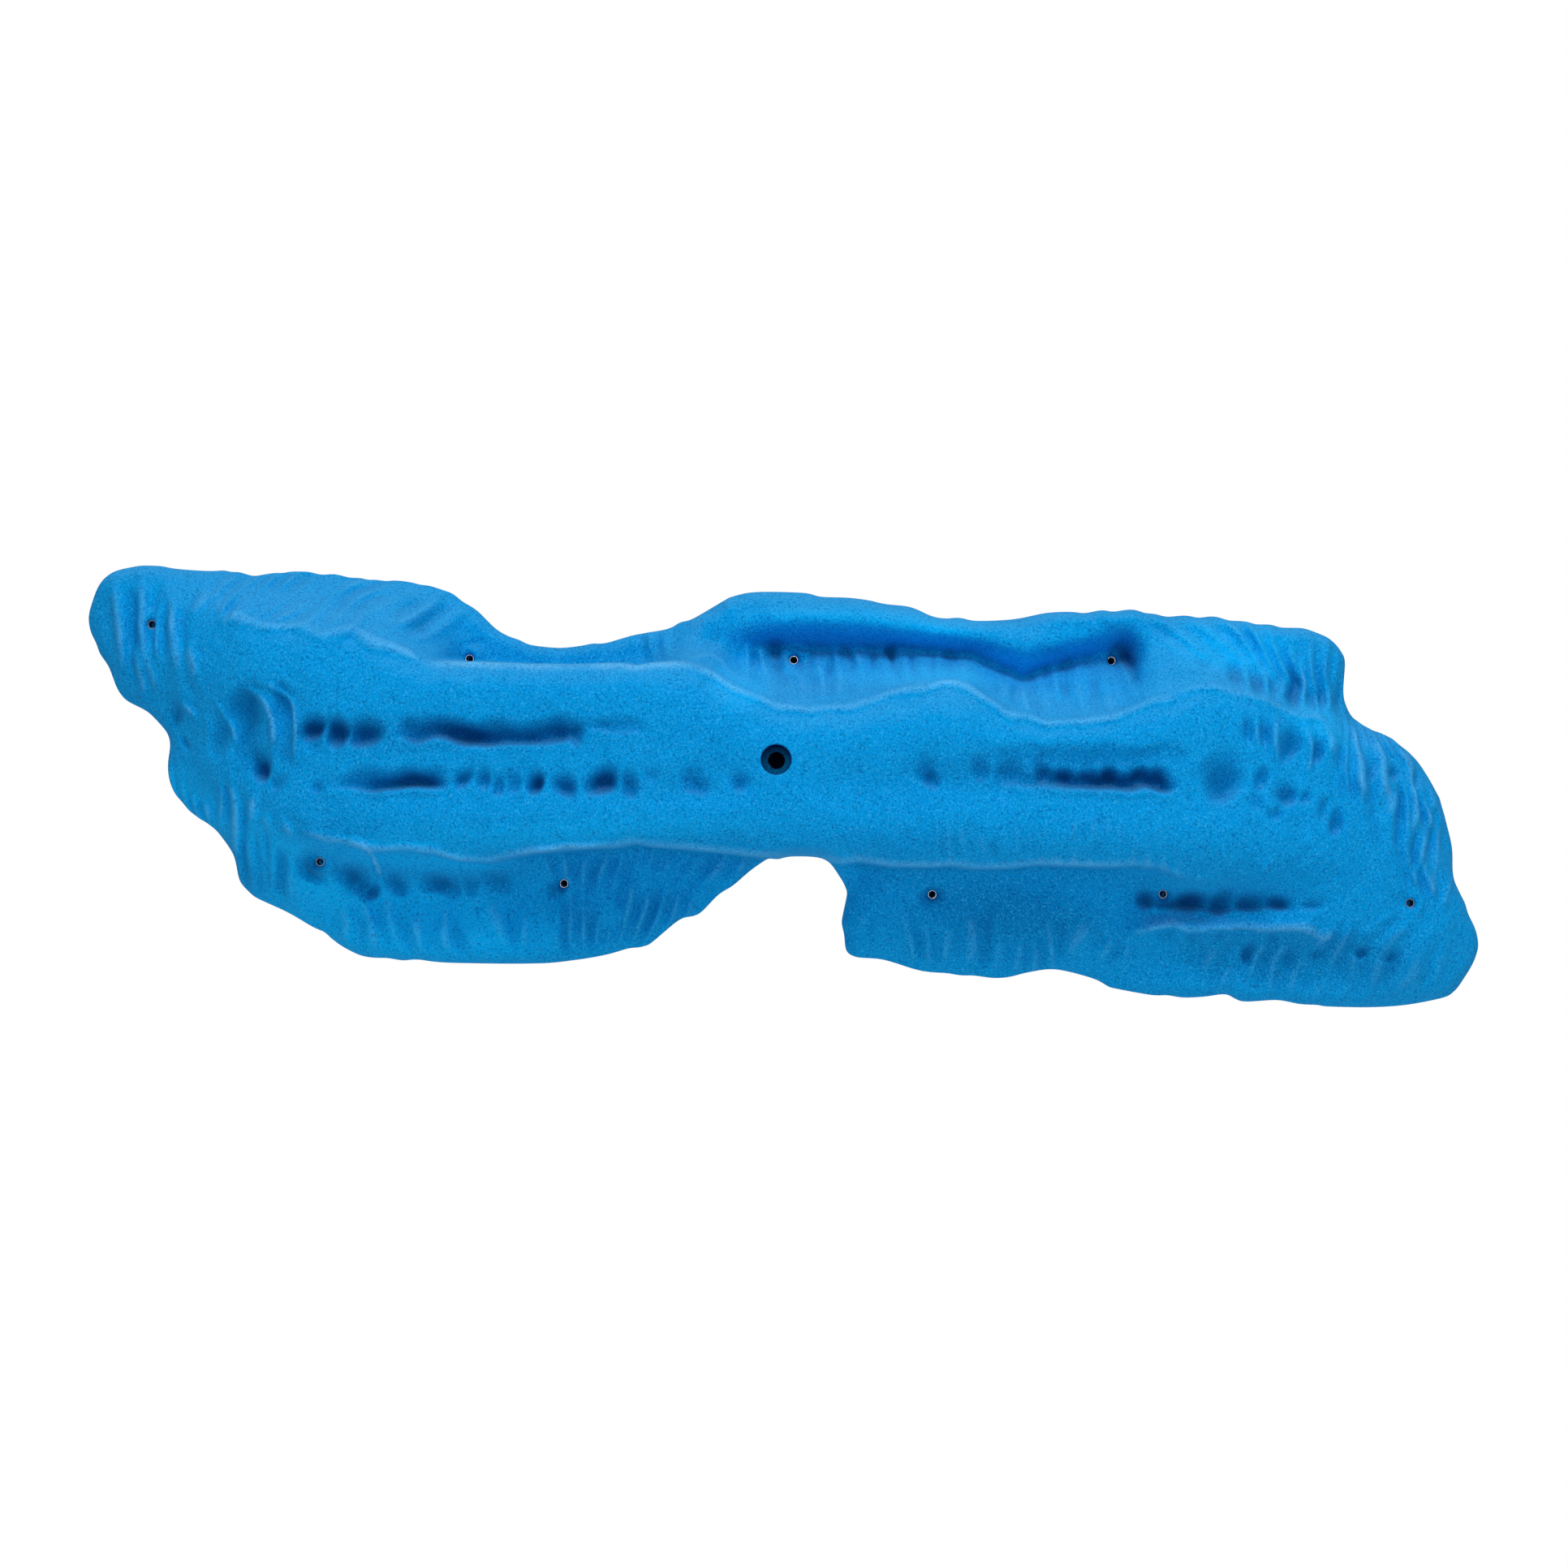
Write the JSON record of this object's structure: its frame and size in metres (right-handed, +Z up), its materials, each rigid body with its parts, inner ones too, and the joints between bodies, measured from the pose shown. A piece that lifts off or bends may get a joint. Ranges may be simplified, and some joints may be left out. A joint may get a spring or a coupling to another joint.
{
  "type": "climbing hold",
  "caption": "Large moulded bolt-on climbing hold with a long finger-grooved ridge, rippled flanges, a scooped jug pocket, a counterbored bolt hole and steel-lined screw holes.",
  "frame": {"origin": "axis of the main bolt hole on the flat back, which is the wall plane", "axes": "+X along the hold's long axis, to the right as a climber sees it; +Y into the wall; +Z up the wall"},
  "size_m": [0.9559, 0.1105, 0.3037],
  "materials": {
    "polyurethane": "matt, fine sandpaper grain for grip",
    "steel": "plain turned steel"
  },
  "bodies": {
    "root": {"hold_shell": "polyurethane", "bolt_washer": "steel", "screw_insert_1": "steel", "screw_insert_2": "steel", "screw_insert_3": "steel", "screw_insert_4": "steel", "screw_insert_5": "steel", "screw_insert_6": "steel", "screw_insert_7": "steel", "screw_insert_8": "steel", "screw_insert_9": "steel"}
  },
  "joints": []
}
